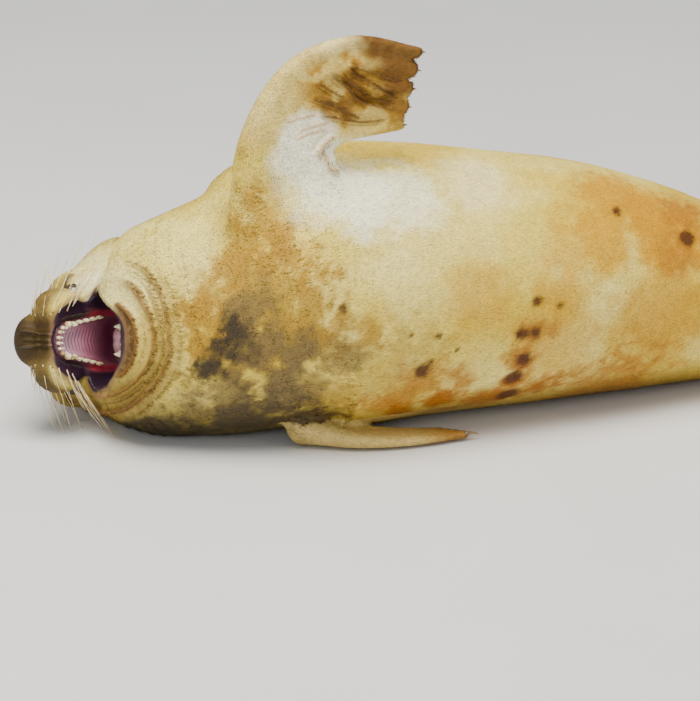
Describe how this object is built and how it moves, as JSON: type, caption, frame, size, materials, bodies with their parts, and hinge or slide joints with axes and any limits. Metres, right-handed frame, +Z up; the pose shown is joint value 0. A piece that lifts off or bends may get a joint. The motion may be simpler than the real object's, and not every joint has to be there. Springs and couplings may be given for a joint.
{
  "type": "harbor seal",
  "caption": "Life-size harbor seal lying on its right side, mouth open wide in a yawn, one foreflipper raised and the other on the ground.",
  "frame": {"origin": "on the ground, under the middle of the whole seal", "axes": "+X to the tail, -Y to the belly, +Z up, which is the seal's left side"},
  "size_m": [1.2551, 0.3452, 0.4527],
  "materials": {
    "coat_abdomen": "short wet fur",
    "coat_chest": "short wet fur",
    "claw": "horn",
    "eye": "wet",
    "coat_foreflipper_left": "short wet fur",
    "coat_foreflipper_right": "short wet fur",
    "coat_head": "short wet fur",
    "coat_hindflipper_left": "short wet fur",
    "coat_hindflipper_right": "short wet fur",
    "coat_hindquarters": "short wet fur",
    "coat_lower_jaw": "short wet fur",
    "coat_neck": "short wet fur",
    "coat_tail": "short wet fur",
    "tongue": "wet"
  },
  "bodies": {
    "root": {"abdomen": "coat_abdomen", "chest": "coat_chest", "claw_foreflipper_left_1": "claw", "claw_foreflipper_left_2": "claw", "claw_foreflipper_left_3": "claw", "claw_foreflipper_left_4": "claw", "claw_foreflipper_left_5": "claw", "claw_foreflipper_right_1": "claw", "claw_foreflipper_right_2": "claw", "claw_foreflipper_right_3": "claw", "claw_foreflipper_right_4": "claw", "claw_foreflipper_right_5": "claw", "claw_hindflipper_left_1": "claw", "claw_hindflipper_left_2": "claw", "claw_hindflipper_left_3": "claw", "claw_hindflipper_left_4": "claw", "claw_hindflipper_left_5": "claw", "claw_hindflipper_right_1": "claw", "claw_hindflipper_right_2": "claw", "claw_hindflipper_right_3": "claw", "claw_hindflipper_right_4": "claw", "claw_hindflipper_right_5": "claw", "eye_left": "eye", "eye_right": "eye", "foreflipper_left": "coat_foreflipper_left", "foreflipper_right": "coat_foreflipper_right", "head": "coat_head", "hindflipper_left": "coat_hindflipper_left", "hindflipper_right": "coat_hindflipper_right", "hindquarters": "coat_hindquarters", "lower_jaw": "coat_lower_jaw", "neck": "coat_neck", "tail": "coat_tail", "tongue": "tongue"}
  },
  "joints": []
}
